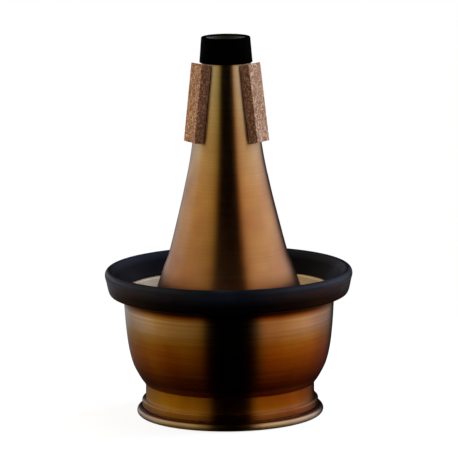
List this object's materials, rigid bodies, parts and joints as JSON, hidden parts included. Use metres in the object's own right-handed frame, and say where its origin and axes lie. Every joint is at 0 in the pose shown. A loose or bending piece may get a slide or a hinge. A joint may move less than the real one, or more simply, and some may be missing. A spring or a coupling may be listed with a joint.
{
  "type": "trumpet cup mute",
  "caption": "Spun metal trumpet mute: a flared cone with cork strips stands in a sliding, turning cup with a black rubber rim bumper.",
  "frame": {"origin": "on the mute's axis, in the plane that the base bead stands on", "axes": "+Z along the axis, from the base to the small end that enters the bell; -Y is the front in the picture, +X is to the right"},
  "size_m": [0.12, 0.12, 0.184],
  "materials": {
    "spun_bronze": "brushed on the lathe and clear lacquered",
    "cup_bronze": "brushed on the lathe and clear lacquered, paler and satin inside",
    "bumper_rubber": "satin black",
    "tip_rubber": "smooth black",
    "cork": "agglomerated cork, sanded",
    "grip_felt": "dense felt"
  },
  "bodies": {
    "mute_body": {"cone_shell": "spun_bronze", "base_plate": "spun_bronze", "tip_sleeve": "tip_rubber", "cork_right": "cork", "cork_back": "cork", "cork_left": "cork"},
    "grip": {"grip_ring": "grip_felt"},
    "cup": {"cup_collar": "cup_bronze", "cup_bowl": "cup_bronze", "rim_bumper": "bumper_rubber"}
  },
  "joints": [
    {"name": "cup_slide", "type": "slide", "parent": "mute_body", "child": "grip", "axis": [0, 0, 1], "range_m": [0, 0.022]},
    {"name": "cup_turn", "type": "hinge", "parent": "grip", "child": "cup", "pos_m": [0, 0, 0.03], "axis": [0, 0, 1], "continuous": true}
  ]
}
